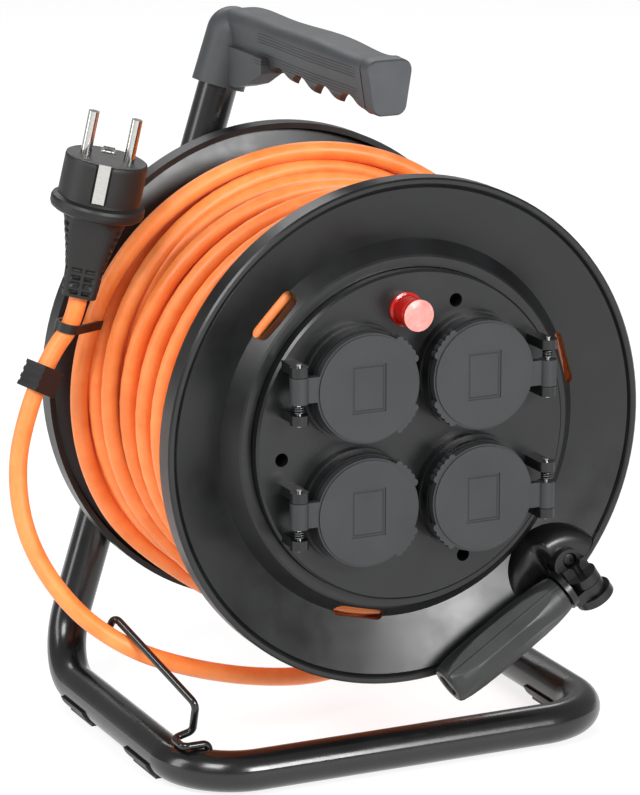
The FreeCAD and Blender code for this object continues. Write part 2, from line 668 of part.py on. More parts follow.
def make_lid_springs():
    """Torsion springs round the pins, one beside each knuckle."""
    springs = []
    for side, rise in SOCKETS.values():
        helix = Part.makeHelix(SPRING_PITCH, SPRING_LENGTH, SPRING_RADIUS)
        start = Part.Circle(Vector(SPRING_RADIUS, 0, 0), Vector(0, 1, 0), SPRING_WIRE)
        coil = Part.Wire(helix.Edges).makePipeShell([Part.Wire([start.toShape()])], True, True)
        tail = Part.makeCylinder(SPRING_WIRE, 7, Vector(SPRING_RADIUS, -0.2, 0), Vector(0, 1, 0))
        spring = coil.fuse(tail)
        first = value("dims.knuckle_high") + 0.8
        spring.translate(Vector(0, 0, first))
        if side < 0:
            spring.rotate(Vector(), Vector(0, 1, 0), 180)
        spring.translate(Vector(side * value("dims.hinge_x"), value("dims.hinge_y"),
                                rise * value("dims.socket_offset")))
        springs.append(spring)
    feature("lid_springs", Part.Compound(springs))


# ---- crank ------------------------------------------------------------------------------------
# The crank's own frame: X along the folded grip, Y as the drum's, Z along the fold's axis.

def crank_turn():
    return Rotation(Vector(0, 1, 0), value("dims.crank_turn"))


def crank_node(item, label):
    item.Label = label
    seat(item, "dims.crank_x", "dims.crank_y", "dims.crank_z", crank_turn())
    NODES.append(item)


EAR_LOW, EAR_HIGH, KNUCKLE_LOW, KNUCKLE_HIGH, HEAD_LOW, HEAD_HIGH = -3.0, 1.5, 1.8, 6.7, 7.0, 11.0
BOSS_X, BOSS_Z, GRIP_Z = 1.3, -8.0, -2.3


def make_crank_bracket():
    """Boss on the recess floor with one ear that holds the fold pin, and the screw through it."""
    floor = "dims.recess_floor - dims.crank_y"
    boss = rod("crank_boss", "dims.ear_radius", f"{floor} - 4", BOSS_X, "4", BOSS_Z)
    rib = block("crank_rib", ("-6", "1", EAR_LOW - 5), ("6.5", "10.8", EAR_HIGH))
    ear = rod("crank_ear", "dims.ear_radius", EAR_HIGH - EAR_LOW, "0", "0", EAR_LOW, Rotation())
    bore = rod("crank_ear_bore", "dims.crank_pin", "20", "0", "0", "-8", Rotation())
    well = rod("crank_screw_well", "3.4", "22", BOSS_X - 1.5, "-9", BOSS_Z - 1.4)
    tools = joined("crank_bores", [bore, well])
    crank_node(minus("crank_bracket_cut", joined("crank_stack", [boss, rib, ear]), tools),
               "crank_bracket")
    head = rod("crank_screw_head", "3.2", "2.2", BOSS_X - 1.5, "10.8", BOSS_Z - 1.4)
    crank_node(group("crank_screw_group", [head]), "crank_screw")


def make_crank_pin():
    """Fold pin with a broad flat head."""
    shank = rod("fold_shank", "dims.crank_pin", HEAD_LOW - EAR_LOW, "0", "0", EAR_LOW, Rotation())
    head = rod("fold_head", "9", HEAD_HIGH - HEAD_LOW, "0", "0", HEAD_LOW, Rotation())
    crank_node(joined("fold_pin", [shank, head]), "crank_fold_pin")


def make_crank_arm():
    """Knuckle on the fold pin, a flange and the spindle that the grip turns on."""
    knuckle = rod("arm_knuckle", "dims.ear_radius", KNUCKLE_HIGH - KNUCKLE_LOW, "0", "0",
                  KNUCKLE_LOW, Rotation())
    web = block("arm_web", ("0", "-6", KNUCKLE_LOW), ("10.5", "6", KNUCKLE_HIGH))
    sideways = Rotation(Vector(0, 1, 0), 90)
    flange = rod("arm_flange", "9.3", "2.8", "9.2", "0", GRIP_Z, sideways)
    spindle = rod("arm_spindle", "dims.spindle_radius", "dims.grip_end - 2.7 - 9.2", "9.2", "0",
                  GRIP_Z, sideways)
    bore = rod("arm_bore", "dims.crank_pin + 0.05", "20", "0", "0", "-2", Rotation())
    whole = joined("arm_whole", [knuckle, web, flange, spindle])
    crank_node(minus("arm_cut", whole, bore), "crank_arm")


def make_crank_grip():
    """Long round grip, waisted near the arm, bored for the spindle and closed by a cap screw."""
    reach = "dims.grip_end"
    grip = revolved("grip_body", [
        ("dims.spindle_radius + 0.05", "dims.grip_start"), ("8.2", "dims.grip_start"),
        ("9.4", "dims.grip_start + 1.6"), ("9.9", "dims.grip_start + 12"),
        ("dims.grip_radius", "dims.grip_start + 30"), ("dims.grip_radius", f"{reach} - 8"),
        ("9.7", f"{reach} - 1.2"), ("8.7", reach), ("5.2", reach), ("5.2", f"{reach} - 3"),
        ("dims.spindle_radius + 0.05", f"{reach} - 3")])
    turn = crank_turn().multiply(Rotation(Vector(0, 0, 1), -90))
    grip.Placement = Placement(Vector(), turn)
    offset = crank_turn().multVec(Vector(0, 0, GRIP_Z))
    grip.Label = "crank_grip"
    seat(grip, f"dims.crank_x + {offset.x:.4f}", "dims.crank_y", f"dims.crank_z + {offset.z:.4f}",
         turn)
    NODES.append(grip)
    cap = rod("spindle_cap_rod", "4.6", "1.4", "dims.grip_end - 2.7", "0", GRIP_Z,
              Rotation(Vector(0, 1, 0), 90))
    crank_node(group("spindle_cap_group", [cap]), "spindle_cap")


# ---- cord and plug ----------------------------------------------------------------------------

PLUG_FOOT = Vector(-112.5, 100, 52)
PLUG_AXIS = Vector(11, -8, 62).normalize()
LOOP_ROUTE = ((-125, 102, 27), (-137, 100, 4), (-145, 98, -24), (-143.8, 88, -54.7),
              (-131.8, 67.1, -80.9), (-109.6, 54, -98.8), (-80, 56, -112), (-44, 64, -124),
              (-6, 76, -132), (33, 84, -127), (69, 89, -103))
LAY_FIRST, LAY_STEP, LAY_COUNT = -33, 360 / 14, 12
LAY_Y_START, LAY_Y_END = 92, 124


def lead_points():
    """The free loop from the plug, then most of one loose turn laid round the winding."""
    points = [PLUG_FOOT, PLUG_FOOT - PLUG_AXIS * 14] + [Vector(*spot) for spot in LOOP_ROUTE]
    radius = value("dims.lay_radius")
    for step in range(LAY_COUNT):
        turn = math.radians(LAY_FIRST + LAY_STEP * step)
        ease = 3 * (step / (LAY_COUNT - 1)) ** 2 - 2 * (step / (LAY_COUNT - 1)) ** 3
        y = LAY_Y_START + (LAY_Y_END - LAY_Y_START) * ease
        points.append(Vector(radius * math.cos(turn), y, radius * math.sin(turn)))
    return points


def make_cord():
    winding = revolved("winding_body", [
        ("dims.barrel_outer", "dims.winding_front"), ("dims.winding_radius", "dims.winding_front"),
        ("dims.winding_radius", "dims.winding_back"), ("dims.barrel_outer", "dims.winding_back")])
    node(winding, "cord_winding")
    points = lead_points()
    radii = natural_radii(points)
    print("lead radii, mm:", ", ".join(f"{radius:.0f}" for radius in radii))
    print("lead runs, mm:", ", ".join(f"{(b - a).Length:.0f}" for a, b in zip(points, points[1:])))
    path = rounded_path(points, radii)
    lead = round_sweep(path, value("dims.cord_diameter / 2"))
    expected = path.Length * math.pi * value("dims.cord_diameter / 2") ** 2
    print(f"lead length {path.Length:.0f} mm, volume over section times length "
          f"{lead.Volume / expected:.4f}")
    feature("cord_lead", lead)


def plug_turn():
    """Plug frame: Y along the plug towards its pins, X across the two pins."""
    across = Vector(0.907, -0.42, 0)
    across = (across - PLUG_AXIS * across.dot(PLUG_AXIS)).normalize()
    depth = across.cross(PLUG_AXIS)
    return Rotation(across, PLUG_AXIS, depth, "YXZ")


def plug_node(item, label):
    item.Label = label
    seat(item, PLUG_FOOT.x, PLUG_FOOT.y, PLUG_FOOT.z, plug_turn())
    NODES.append(item)


def make_plug():
    """Moulded plug: ribbed strain relief, waisted body, finger collar and a round face."""
    outline = [("0", "0"), ("6", "0")]
    for rib in range(5):
        foot, width = 1.2 + 3.4 * rib, 6.4 + 0.45 * rib
        outline += [(width + 0.9, foot), (width + 0.9, foot + 2), (width, foot + 2.4),
                    (width, foot + 3.2)]
    outline += [("10.6", "21"), ("11.6", "30"), ("14", "36.5"), ("19.6", "38"), ("20.8", "39.4"),
                ("20.8", "43"), ("20", "44.4"), ("18.4", "45"), ("18.2", "62.2"), ("17.4", "63.2"),
                ("0", "63.2")]
    body = revolved("plug_blank", outline)
    cut_circles(body, "earth_hole", [("0", "-11")], "2.5", "52", "64")
    grooves = []
    for sign in (-1, 1):
        ends = sorted((sign * 16.6, sign * 19))
        grooves.append(block(f"plug_groove_{sign + 1}", ("-3.5", "46", ends[0]),
                             ("3.5", "64", ends[1])))
    plug_node(minus("plug_cut", body, joined("plug_grooves", grooves)), "plug_body")
    pins = [rod(f"plug_pin_{side}", "2.4", "19", f"{side} * dims.pin_offset", "63.2", "0")
            for side in (-1, 1)]
    plug_node(group("plug_pin_group", pins), "plug_pins")
    strips = []
    for sign in (-1, 1):
        ends = sorted((sign * 16.6, sign * 17.7))
        strips.append(block(f"plug_strip_{sign + 1}", ("-2.6", "46", ends[0]),
                            ("2.6", "63.6", ends[1])))
    plug_node(group("plug_strip_group", strips), "plug_earth_strips")


def stadium(half_gap, radius, height):
    """A flat-sided ring blank: two half circles a gap apart."""
    hull = Part.makeBox(2 * half_gap, 2 * radius, height, Vector(-half_gap, -radius, 0))
    for side in (-1, 1):
        hull = hull.fuse(Part.makeCylinder(radius, height, Vector(side * half_gap, 0, 0)))
    return hull.removeSplitter()


def make_tie():
    """Cable tie that holds the lead below the plug against the outer turn."""
    first, last = Vector(-117.5, 101.8, 37.5), Vector(-99.6, 118.6, 34.5)
    across = (last - first)
    half_gap = across.Length / 2
    inner = value("dims.cord_diameter / 2") + 0.4
    band = stadium(half_gap, inner + 1.2, 4).cut(stadium(half_gap, inner, 4))
    head = Part.makeBox(5.5, 4.6, 5, Vector(half_gap - 1, -inner - 1.2 - 4.4, -0.5))
    down = Vector(-0.35, 0, -0.94)
    turn = Rotation(across, Vector(), down, "XZY")
    feature("cable_tie", band.fuse(head), (first + last) * 0.5 - turn.multVec(Vector(0, 0, 2)), turn)


def make_cord_clip():
    """Ribbed clip that sits on the lead below the tie."""
    spot = Vector(-131, 101, 15.5)
    down = Vector(-12, -2, -23).normalize()
    turn = Rotation(Vector(0, 0, 1), down)
    blank = Part.makeBox(12, 13, 12, Vector(-6, -6.5, -6))
    for rib in range(3):
        for side in (-1, 1):
            x = side * 6 - 0.6
            blank = blank.cut(Part.makeBox(1.2, 14, 1.6, Vector(x, -7, -4.4 + 3.4 * rib)))
    blank = blank.cut(Part.makeCylinder(value("dims.cord_diameter / 2") + 0.2, 20, Vector(0, 0, -10)))
    feature("cord_clip", blank, spot, turn)


# ---- build and export -------------------------------------------------------------------------

def check_and_export():
    DOC.recompute()
    for item in DOC.Objects:
        if "Invalid" in item.State or "Error" in item.State:
            raise RuntimeError(f"{item.Name} failed: {item.State}")
    os.makedirs("parts", exist_ok=True)
    for item in NODES:
        if item.Shape.isNull() or not item.Shape.isValid():
            raise RuntimeError(f"{item.Label} has no valid shape")
        item.Shape.exportStep(f"parts/{item.Label}.step")
        box = item.Shape.BoundBox
        print(f"{item.Label:28s} solids {len(item.Shape.Solids)}  x {box.XMin:7.1f} {box.XMax:7.1f}"
              f"  y {box.YMin:7.1f} {box.YMax:7.1f}  z {box.ZMin:7.1f} {box.ZMax:7.1f}")
    print(len(NODES), "nodes")


fill_sheet()
make_frame_tube()
make_feet()
make_handle()
make_hub()
make_guide_wire()
make_front_flange()
make_rear_flange()
make_barrel()
make_socket_panel()
make_socket_inserts()
make_contacts()
make_reset()
make_screws()
make_lids()
make_lid_pins()
make_lid_springs()
make_crank_bracket()
make_crank_pin()
make_crank_arm()
make_crank_grip()
make_cord()
make_plug()
make_tie()
make_cord_clip()
check_and_export()
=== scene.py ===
import math

import bpy
import numpy as np
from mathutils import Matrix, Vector


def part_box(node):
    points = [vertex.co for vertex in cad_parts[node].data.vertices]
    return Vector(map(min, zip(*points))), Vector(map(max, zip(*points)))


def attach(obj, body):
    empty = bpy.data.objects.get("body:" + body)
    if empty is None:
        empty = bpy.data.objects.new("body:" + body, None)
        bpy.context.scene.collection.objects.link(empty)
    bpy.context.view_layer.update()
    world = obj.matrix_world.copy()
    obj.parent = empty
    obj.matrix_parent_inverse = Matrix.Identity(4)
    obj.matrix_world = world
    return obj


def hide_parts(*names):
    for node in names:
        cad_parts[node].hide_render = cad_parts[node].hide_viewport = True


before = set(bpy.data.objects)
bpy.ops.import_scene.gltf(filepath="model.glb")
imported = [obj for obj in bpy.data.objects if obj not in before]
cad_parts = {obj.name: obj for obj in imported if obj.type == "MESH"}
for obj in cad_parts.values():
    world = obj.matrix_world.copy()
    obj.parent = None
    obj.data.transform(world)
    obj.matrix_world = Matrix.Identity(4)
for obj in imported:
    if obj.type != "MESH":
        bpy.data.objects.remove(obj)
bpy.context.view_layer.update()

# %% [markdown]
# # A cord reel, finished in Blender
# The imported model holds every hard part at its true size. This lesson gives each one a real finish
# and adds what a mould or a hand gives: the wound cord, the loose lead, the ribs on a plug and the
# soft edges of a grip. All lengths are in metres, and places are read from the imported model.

rim_low, rim_high = (np.array(corner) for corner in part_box("front_flange"))
FLANGE_RADIUS = (rim_high[2] - rim_low[2]) / 2
AXIS = np.array([(rim_low[0] + rim_high[0]) / 2, rim_low[1], (rim_low[2] + rim_high[2]) / 2])
MM = 0.001


def at_drum(points_mm):
    """Points given in millimetres from the middle of the front rim, as places in metres."""
    return AXIS + np.asarray(points_mm, dtype=float) * MM


print("drum axis stands at", AXIS.round(4), "flange radius", round(FLANGE_RADIUS, 4))

# %% [markdown]
# ## Camera
# The camera stands a good way off with a long lens, as for a catalogue picture, so that the round
# flanges keep their shape. Its place is given from the drum, and it looks along one fixed direction.

# %% Camera
CAMERA_FROM_DRUM = (-726.9, -1478.1, 448.2)
AZIMUTH, ELEVATION = math.radians(-24.85), math.radians(14.69)

camera = bpy.data.objects.new("camera", bpy.data.cameras.new("camera"))
bpy.context.collection.objects.link(camera)
camera.location = at_drum(CAMERA_FROM_DRUM)
backwards = Vector((math.sin(AZIMUTH) * math.cos(ELEVATION), -math.cos(AZIMUTH) * math.cos(ELEVATION),
                    math.sin(ELEVATION)))
camera.rotation_euler = backwards.to_track_quat("Z", "Y").to_euler()
camera.data.sensor_fit = "HORIZONTAL"
camera.data.sensor_width = 36
camera.data.lens = 222.4
camera.data.clip_end = 20
bpy.context.scene.camera = camera
print("camera lens", camera.data.lens, "mm at", [round(value, 3) for value in camera.location])

# %% [markdown]
# ## Colour and shader helpers
# Paint and plastic samples are quoted as sRGB hex values, but a shader works in linear light, so one
# function converts them. One more function adds a node, sets it and links it.

# %% Helpers for materials


def linear(hex_value):
    """sRGB hex to linear RGBA: a power curve above 0.04045 and a straight line below."""
    srgb = np.array([int(hex_value[place:place + 2], 16) for place in (1, 3, 5)]) / 255
    light = np.where(srgb <= 0.04045, srgb / 12.92, ((srgb + 0.055) / 1.055) ** 2.4)
    return (*light.tolist(), 1.0)


def add(tree, kind, sockets=None, **settings):
    """Add a node; sockets maps an input's name or number to a value or to another node's output."""
    made = tree.nodes.new(kind)
    for name, setting in settings.items():
        setattr(made, name, setting)
    for name, source in (sockets or {}).items():
        if isinstance(source, bpy.types.NodeSocket):
            tree.links.new(source, made.inputs[name])
        else:
            made.inputs[name].default_value = source
    return made


def start_material(name, **shader_values):
    """A material with its Principled shader, whose even values are set on its own sockets."""
    material = bpy.data.materials.new(name)
    material.use_nodes = True
    tree = material.node_tree
    shader = tree.nodes["Principled BSDF"]
    for socket, number in shader_values.items():
        shader.inputs[socket.replace("_", " ")].default_value = number
    return material, tree, shader


RAMP_STOPS = (0.35, 0.65)


def ramp_between(tree, driver, low, high):
    """Colours or greys between two stops, driven by a noise, whose values gather round a half."""
    ramp = add(tree, "ShaderNodeValToRGB", {"Fac": driver})
    for stop, position, colour in zip(ramp.color_ramp.elements, RAMP_STOPS, (low, high)):
        stop.position, stop.color = position, colour
    return ramp.outputs["Color"]


def grey(level):
    return (level, level, level, 1.0)


def finish_surface(tree, shader, tint, roughness, grain_mm, height_mm, patch_mm=25):
    """Cloudy tint and roughness over patches, and a fine grain in the surface."""
    place = add(tree, "ShaderNodeTexCoord").outputs["Object"]
    patches = add(tree, "ShaderNodeTexNoise", {"Vector": place, "Scale": 1 / (patch_mm * MM),
                                               "Detail": 4.0, "Roughness": 0.6})
    grain = add(tree, "ShaderNodeTexNoise", {"Vector": place, "Scale": 1 / (grain_mm * MM),
                                             "Detail": 2.0, "Roughness": 0.5})
    colour = ramp_between(tree, patches.outputs["Fac"], linear(tint[0]), linear(tint[1]))
    rough = ramp_between(tree, patches.outputs["Fac"], grey(roughness[0]), grey(roughness[1]))
    bump = add(tree, "ShaderNodeBump", {"Height": grain.outputs["Fac"], "Strength": 1.0,
                                        "Distance": height_mm * MM})
    tree.links.new(colour, shader.inputs["Base Color"])
    tree.links.new(rough, shader.inputs["Roughness"])
    tree.links.new(bump.outputs["Normal"], shader.inputs["Normal"])


print("material helpers ready; middle grey is", round(linear("#808080")[0], 3), "linear")

# %% [markdown]
# ## Plastics
# The drum is injection-moulded polypropylene. It leaves the mould nearly black with a satin skin
# that shows long soft reflections. The lids and both grips are a little greyer, because their tools
# are spark-eroded, which leaves a fine even grain that scatters the light.

# %% Moulded plastics


def moulded(name, tint, roughness, grain_mm=0.5, height_mm=0.015):
    """Moulded thermoplastic, index of refraction about 1.49."""
    material, tree, shader = start_material(name, IOR=1.49)
    finish_surface(tree, shader, tint, roughness, grain_mm, height_mm)
    return material


drum_plastic = moulded("satin polypropylene, drum", ("#101011", "#151617"), (0.28, 0.38), 0.8, 0.01)
panel_plastic = moulded("satin polypropylene, panel", ("#0f1011", "#141516"), (0.26, 0.35), 0.9,
                        0.008)
lid_plastic = moulded("spark-eroded plastic, lids", ("#232527", "#292b2d"), (0.46, 0.56), 0.35, 0.03)
crank_plastic = moulded("spark-eroded plastic, crank grip", ("#1d1e1f", "#252626"), (0.34, 0.46), 0.4,
                        0.02)
gloss_plastic = moulded("polished plastic, crank housing", ("#0c0c0d", "#121213"), (0.26, 0.36), 0.9,
                        0.006)
grip_plastic = moulded("grained plastic, carrying grip", ("#34373a", "#3e4143"), (0.46, 0.58), 0.45,
                       0.035)
tie_plastic = moulded("nylon, cable tie", ("#101012", "#18181a"), (0.35, 0.45), 0.6, 0.01)
terminal_plastic = moulded("light grey thermoset, inner parts", ("#6b6c6c", "#7a7b7a"), (0.5, 0.6))
print("plastics made:", [item.name for item in (drum_plastic, panel_plastic, lid_plastic, crank_plastic,
                                                gloss_plastic, grip_plastic, tie_plastic,
                                                terminal_plastic)])

# %% [markdown]
# ## Lines that the mould leaves
# The carrying grip has two bundles of fine lines along its sides, and each lid has an empty frame for
# a label. Both are a fraction of a millimetre deep, far too shallow to be worth modelling, so they
# are drawn as a groove in the material with painted shade in it: a darker tint inside the groove.

# %% Lines in the carrying grip and the lids


def band(tree, spread, middle, half):
    """One inside a band of a coordinate and zero outside, with a soft edge a tenth of its width."""
    away = add(tree, "ShaderNodeMath", {0: spread, 1: middle * MM}, operation="SUBTRACT")
    away = add(tree, "ShaderNodeMath", {0: away.outputs[0]}, operation="ABSOLUTE")
    inside = add(tree, "ShaderNodeMapRange", {"Value": away.outputs[0], "From Min": half * MM,
                                              "From Max": half * 0.9 * MM})
    return inside.outputs[0]


def press_in(material, pattern, deep_mm, shade):
    """Press a pattern's ones into a finished surface: a groove under its grain, tinted darker as painted
    shade.
    """
    tree = material.node_tree
    shader = tree.nodes["Principled BSDF"]
    grain = shader.inputs["Normal"].links[0].from_socket
    groove = add(tree, "ShaderNodeBump", {"Height": pattern, "Strength": 1.0,
                                          "Distance": deep_mm * MM, "Normal": grain}, invert=True)
    tree.links.new(groove.outputs["Normal"], shader.inputs["Normal"])
    tint = shader.inputs["Base Color"].links[0].from_socket
    # Painted shade: the pattern's grooves get a darker tint where their shade would fall.
    dark = add(tree, "ShaderNodeMix", {0: pattern, 6: tint, 7: linear(shade)}, data_type="RGBA")
    tree.links.new(dark.outputs[2], shader.inputs["Base Color"])


AXIS_MM = AXIS / MM


def line_bundles(material, levels_mm, half_mm, run_mm, pitch_mm, deep_mm):
    """Two bundles of level lines: a sine of the height, kept where the height is near one of the two
    levels and the place along the grip is inside the run. Both are measured from the drum."""
    tree = material.node_tree
    place = add(tree, "ShaderNodeTexCoord").outputs["Object"]
    split = add(tree, "ShaderNodeSeparateXYZ", {"Vector": place}).outputs
    ripple = add(tree, "ShaderNodeMath", {0: split["Z"], 1: 2 * math.pi / (pitch_mm * MM)},
                 operation="MULTIPLY")
    ripple = add(tree, "ShaderNodeMath", {0: ripple.outputs[0]}, operation="SINE")
    ripple = add(tree, "ShaderNodeMapRange", {"Value": ripple.outputs[0], "From Min": 0.35,
                                              "From Max": 0.85})
    bundles = [band(tree, split["Z"], AXIS_MM[2] + level, half_mm) for level in levels_mm]
    both = add(tree, "ShaderNodeMath", {0: bundles[0], 1: bundles[1]}, operation="MAXIMUM")
    start, end = AXIS_MM[1] + np.array(run_mm)
    run = band(tree, split["Y"], (start + end) / 2, (end - start) / 2)
    mask = add(tree, "ShaderNodeMath", {0: both.outputs[0], 1: run}, operation="MULTIPLY")
    lines = add(tree, "ShaderNodeMath", {0: mask.outputs[0], 1: ripple.outputs[0]},
                operation="MULTIPLY")
    # The tint #232526 is painted shade in the grip's line grooves.
    press_in(material, lines.outputs[0], deep_mm, "#232526")


def label_frames(material, offset_mm, half_mm, line_mm, deep_mm):
    """One rectangle on each lid. The absolute values of x and z from the drum's middle, and then from
    a lid's middle, fold all four into one; the line lies where the greater of the two distances
    past the rectangle's half sizes is nought."""
    tree = material.node_tree
    place = add(tree, "ShaderNodeTexCoord").outputs["Object"]
    split = add(tree, "ShaderNodeSeparateXYZ", {"Vector": place}).outputs
    ways = []
    for axis, middle, half in (("X", AXIS[0], half_mm[0]), ("Z", AXIS[2], half_mm[1])):
        way = split[axis]
        for operation, number in (("SUBTRACT", float(middle)), ("ABSOLUTE", 0.0),
                                  ("SUBTRACT", offset_mm * MM), ("ABSOLUTE", 0.0),
                                  ("SUBTRACT", half * MM)):
            way = add(tree, "ShaderNodeMath", {0: way, 1: number}, operation=operation).outputs[0]
        ways.append(way)
    outside = add(tree, "ShaderNodeMath", {0: ways[0], 1: ways[1]}, operation="MAXIMUM")
    # The tint #121314 is painted shade in the label frame's groove.
    press_in(material, band(tree, outside.outputs[0], 0, line_mm / 2), deep_mm, "#121314")


line_bundles(grip_plastic, levels_mm=(154.2, 145.4), half_mm=2.6, run_mm=(27, 132), pitch_mm=1.3,
             deep_mm=0.35)
label_frames(lid_plastic, offset_mm=27.4, half_mm=(6.9, 9.4), line_mm=0.5, deep_mm=0.25)
print("lines pressed into:", grip_plastic.name, "and", lid_plastic.name)

# %% [markdown]
# ## Rubber, sheath and paint
# The plug, shoes and seals are matt black rubber. The cord's sheath is orange and slightly waxy:
# light goes a little way in, the highlight is broad and soft, and the tint drifts from turn to turn.
# The stand is steel tube under a smooth black powder coat with a trace of orange peel.

# %% Rubber, sheath and powder coat
rubber = moulded("black rubber", ("#0e0e0e", "#151413"), (0.42, 0.56), 0.4, 0.02)

powder_coat, tree, shader = start_material("black powder coat on steel tube", IOR=1.5,
                                           Coat_Weight=0.25, Coat_Roughness=0.12)
finish_surface(tree, shader, ("#0d0d0e", "#131314"), (0.2, 0.3), 1.6, 0.02, 40)

# Extruded elastomer: red light goes deepest into it, so the shadows between the turns stay warm.
cord_sheath, tree, shader = start_material("orange cord sheath", IOR=1.5, Subsurface_Weight=0.06,
                                           Subsurface_Scale=0.002, Sheen_Weight=0.08)
shader.inputs["Subsurface Radius"].default_value = (1.0, 0.45, 0.2)
finish_surface(tree, shader, ("#f07e35", "#f98f48"), (0.38, 0.5), 0.7, 0.02, 14)
print("rubber, powder coat and sheath made")

# %% [markdown]
# ## Metals
# Bright nickel on the plug's pins, zinc plate on screws and the hub, brass on the contacts and dark
# spring steel. Rolled or turned metal is never even, so fine streaks vary its tint and roughness.

# %% Metals
STREAK_MM, STREAK_SQUEEZE = 2.0, (1, 1, 12)


def plated(name, tint, roughness):
    """Metal whose tint and roughness vary in streaks: noise on coordinates squeezed along z."""
    material, tree, shader = start_material(name, Metallic=1.0)
    place = add(tree, "ShaderNodeTexCoord").outputs["Object"]
    squeezed = add(tree, "ShaderNodeMapping", {"Vector": place, "Scale": STREAK_SQUEEZE})
    noise = add(tree, "ShaderNodeTexNoise", {"Vector": squeezed.outputs["Vector"],
                                             "Scale": 1 / (STREAK_MM * MM), "Detail": 3.0})
    colour = ramp_between(tree, noise.outputs["Fac"], linear(tint[0]), linear(tint[1]))
    rough = ramp_between(tree, noise.outputs["Fac"], grey(roughness[0]), grey(roughness[1]))
    tree.links.new(colour, shader.inputs["Base Color"])
    tree.links.new(rough, shader.inputs["Roughness"])
    return material


nickel = plated("nickel plate, pins", ("#b9b8b4", "#cdccc8"), (0.12, 0.22))
zinc = plated("zinc plate, screws and hub", ("#9b9da0", "#b4b6b8"), (0.26, 0.4))
brass = plated("brass, contacts", ("#b08a45", "#c9a35a"), (0.22, 0.35))
spring_steel = plated("oiled spring steel", ("#4a4a4c", "#66666a"), (0.3, 0.42))
bronze = plated("sintered bronze, bush", ("#7d5c33", "#94703f"), (0.45, 0.6))
print("metals made")

# %% [markdown]
# ## Reset button
# The sleeve is clear red plastic over a small lamp. The button in it is red plastic too, a little
# rougher,
# and paler: its pale pink tint is a painted highlight. Light goes in and comes out red, so each is part
# transmission and part plain colour under a glossy skin.

# %% Clear red plastic
red_clear, tree, shader = start_material("clear red plastic", IOR=1.49, Transmission_Weight=0.35)
finish_surface(tree, shader, ("#c81410", "#dc2a1e"), (0.12, 0.2), 1.2, 0.01, 6)
# The button's pale pink tint is a painted highlight over its own red plastic.
highlight_pale_red, tree, shader = start_material("red plastic with painted highlight", IOR=1.49, Transmission_Weight=0.25)
finish_surface(tree, shader, ("#ef8f86", "#f6aca4"), (0.2, 0.3), 1.2, 0.01, 6)
print("reset button plastics made")

# %% [markdown]
# ## Which part gets which finish
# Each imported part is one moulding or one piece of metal, so one finish covers all of it. A table of
# finishes is easier to read and to change than a line of code for every part.

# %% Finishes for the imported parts
FINISHES = {
    powder_coat: ("frame_tube", "guide_wire"),
    rubber: ("rubber_feet", "plug_body"),
    grip_plastic: ("handle_grip", "handle_cap"),
    drum_plastic: ("front_flange", "rear_flange", "barrel"),
    panel_plastic: ("socket_panel",),
    gloss_plastic: ("crank_bracket", "crank_fold_pin", "crank_arm"),
    crank_plastic: ("crank_grip",),
    tie_plastic: ("cable_tie", "cord_clip"),
    terminal_plastic: ("cord_anchor", "thermal_cutout"),
    red_clear: ("reset_sleeve",),
    highlight_pale_red: ("reset_button",),
    cord_sheath: ("cord_winding", "cord_lead"),
    zinc: ("hub_axle", "axle_washer", "axle_screw", "panel_screws", "crank_screw", "spindle_cap"),
    nickel: ("plug_pins", "plug_earth_strips", "lid_pins"),
    brass: ("earth_clips", "contact_bars"),
    bronze: ("hub_bush",),
    spring_steel: ("lid_springs",),
}
SOCKETS = ("upper_left", "upper_right", "lower_left", "lower_right")


def paint(node, material):
    node.data.materials.clear()
    node.data.materials.append(material)


for material, names in FINISHES.items():
    for name in names:
        paint(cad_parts[name], material)
for corner in SOCKETS:
    paint(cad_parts[f"lid_{corner}"], lid_plastic)
    paint(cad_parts[f"lid_seal_{corner}"], rubber)
    paint(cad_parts[f"socket_insert_{corner}"], panel_plastic)
    paint(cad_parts[f"socket_face_{corner}"], panel_plastic)
print(len(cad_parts), "packed parts have a finish")

# %% [markdown]
# ## Skins
# A moulded shape here is a grid of points: rows go along the piece and columns go round it. One
# function turns any such grid into a closed skin, so each piece needs only its formula.

# %% Skin helper


def skin(name, grid_mm, material, body, loop=False, crease=38):
    """Quads between neighbouring rows and columns; rows join up, or both ends get a flat cap. A volume
    below nought, added up from the cone under each quad, tells that the faces point inwards."""
    rows, columns = grid_mm.shape[:2]
    number = np.arange(rows * columns).reshape(rows, columns)
    first = number if loop else number[:-1]
    second = np.roll(number, -1, axis=0) if loop else number[1:]
    quads = np.stack([first, np.roll(first, -1, 1), np.roll(second, -1, 1), second], axis=-1)
    quads = quads.reshape(-1, 4)
    spots = at_drum(grid_mm.reshape(-1, 3))
    corner = spots[quads] - spots.mean(axis=0)
    volume = np.einsum("ij,ij->", corner[:, 0], np.cross(corner[:, 1], corner[:, 2]))
    volume += np.einsum("ij,ij->", corner[:, 0], np.cross(corner[:, 2], corner[:, 3]))
    faces = quads.tolist() + ([] if loop else [number[0, ::-1].tolist(), number[-1].tolist()])
    if volume < 0:
        faces = [face[::-1] for face in faces]
    mesh = bpy.data.meshes.new(name)
    mesh.from_pydata(spots.tolist(), [], faces)
    mesh.polygons.foreach_set("use_smooth", np.ones(len(faces), dtype=bool))
    mesh.set_sharp_from_angle(angle=math.radians(crease))
    mesh.materials.append(material)
    piece = bpy.data.objects.new(name, mesh)
    bpy.context.collection.objects.link(piece)
    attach(piece, body)
    return piece


def trace(knots, count):
    """Points evenly spaced by index along a chain of knots, with every knot kept."""
    knots = np.array(knots, dtype=float)
    share = np.arange(len(knots))
    fine = np.union1d(np.linspace(0, len(knots) - 1, count), share)
    return np.stack([np.interp(fine, share, knots[:, axis]) for axis in range(knots.shape[1])], axis=1)


print("skin helper ready")

# %% [markdown]
# ## Crank
# The grip is barrel-shaped and then cut by flat planes. A plane through a bulging surface leaves an
# oval, so taking the smaller of the barrel's radius and the plane's distance draws the ovals without
# any outline. The housing under the fold is a low dome with round shoulders and a cradle for the grip.

